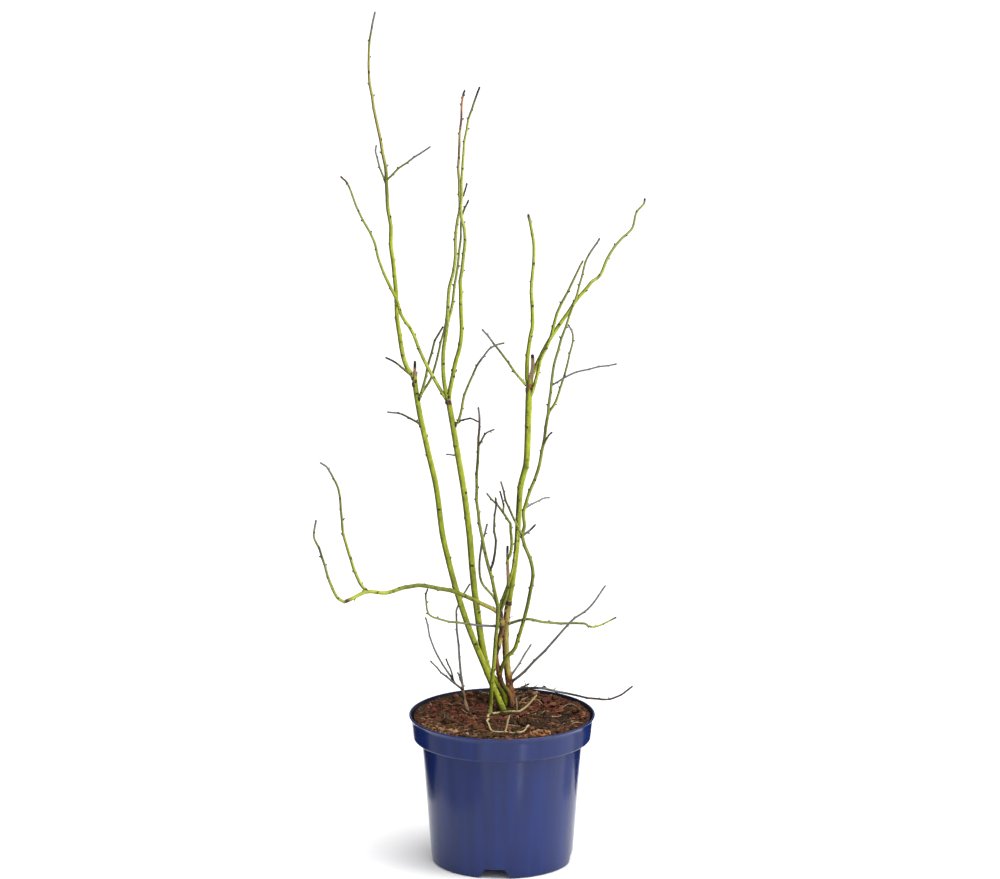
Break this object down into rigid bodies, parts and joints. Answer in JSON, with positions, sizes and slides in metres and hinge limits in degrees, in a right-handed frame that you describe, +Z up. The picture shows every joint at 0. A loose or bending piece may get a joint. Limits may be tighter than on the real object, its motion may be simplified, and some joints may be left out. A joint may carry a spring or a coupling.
{
  "type": "blueberry bush in a pot",
  "caption": "Dormant blueberry bush with green canes and bare twigs, standing in a round nursery pot filled with bark compost.",
  "frame": {"origin": "middle of the pot's flat underside, on the level it stands on", "axes": "+Z up along the bush's height, +X to the right and -Y towards the viewer as the picture shows it"},
  "size_m": [0.3362, 0.2261, 0.8624],
  "materials": {
    "pot_plastic": "glossy navy blue moulded polypropylene with a soft sheen",
    "compost": "damp bark chips and fibre, reddish brown",
    "green_bark": "smooth satin yellow-green bark, olive where it turns from the sun",
    "old_bark": "rough flaking brown bark",
    "dead_bark": "dry grey-brown bark",
    "green_twigs": "satin green shoots with small dark buds",
    "grey_twigs": "dry grey dead twigs",
    "straw_twigs": "pale dry straw-coloured dead twigs"
  },
  "bodies": {
    "root": {"arm_inner": "green_bark", "arm_outer": "green_bark", "arm_right": "green_bark", "bough_crossing": "green_bark", "bough_far": "green_bark", "bough_inner": "green_bark", "bough_left": "green_bark", "bough_near": "green_bark", "bough_outer": "green_bark", "bough_straight": "green_bark", "cane_left": "green_bark", "cane_middle": "green_bark", "cane_right": "green_bark", "compost": "compost", "pot": "pot_plastic", "stem_dead": "dead_bark", "stem_front": "green_bark", "stem_old": "old_bark", "stem_right": "green_bark", "stem_short": "green_bark", "stem_thin": "green_bark", "stub_short": "green_bark", "twig_dead_spur": "grey_twigs", "twig_middle_hair": "green_twigs", "twig_right_hair": "green_twigs", "twig_right_short": "green_twigs", "twig_right_up": "green_twigs", "twigs_arm_right": "green_twigs", "twigs_arm_tip": "green_twigs", "twigs_arm_up": "green_twigs", "twigs_crossing": "green_twigs", "twigs_curl": "green_twigs", "twigs_dead": "grey_twigs", "twigs_far": "green_twigs", "twigs_grey_long": "grey_twigs", "twigs_grey_low": "grey_twigs", "twigs_grey_short": "grey_twigs", "twigs_inner": "green_twigs", "twigs_knee": "green_twigs", "twigs_left_fork": "green_twigs", "twigs_left_knob": "green_twigs", "twigs_left_low": "green_twigs", "twigs_left_top": "green_twigs", "twigs_low_curl": "green_twigs", "twigs_middle_side": "green_twigs", "twigs_near": "green_twigs", "twigs_outer": "green_twigs", "twigs_right_knob": "green_twigs", "twigs_right_top": "green_twigs", "twigs_short": "green_twigs", "twigs_straight": "green_twigs", "twigs_straw_back": "straw_twigs", "twigs_straw_front": "straw_twigs", "twigs_straw_middle": "straw_twigs", "twigs_thin_branch": "green_twigs", "twigs_thin_top": "green_twigs"}
  },
  "joints": []
}
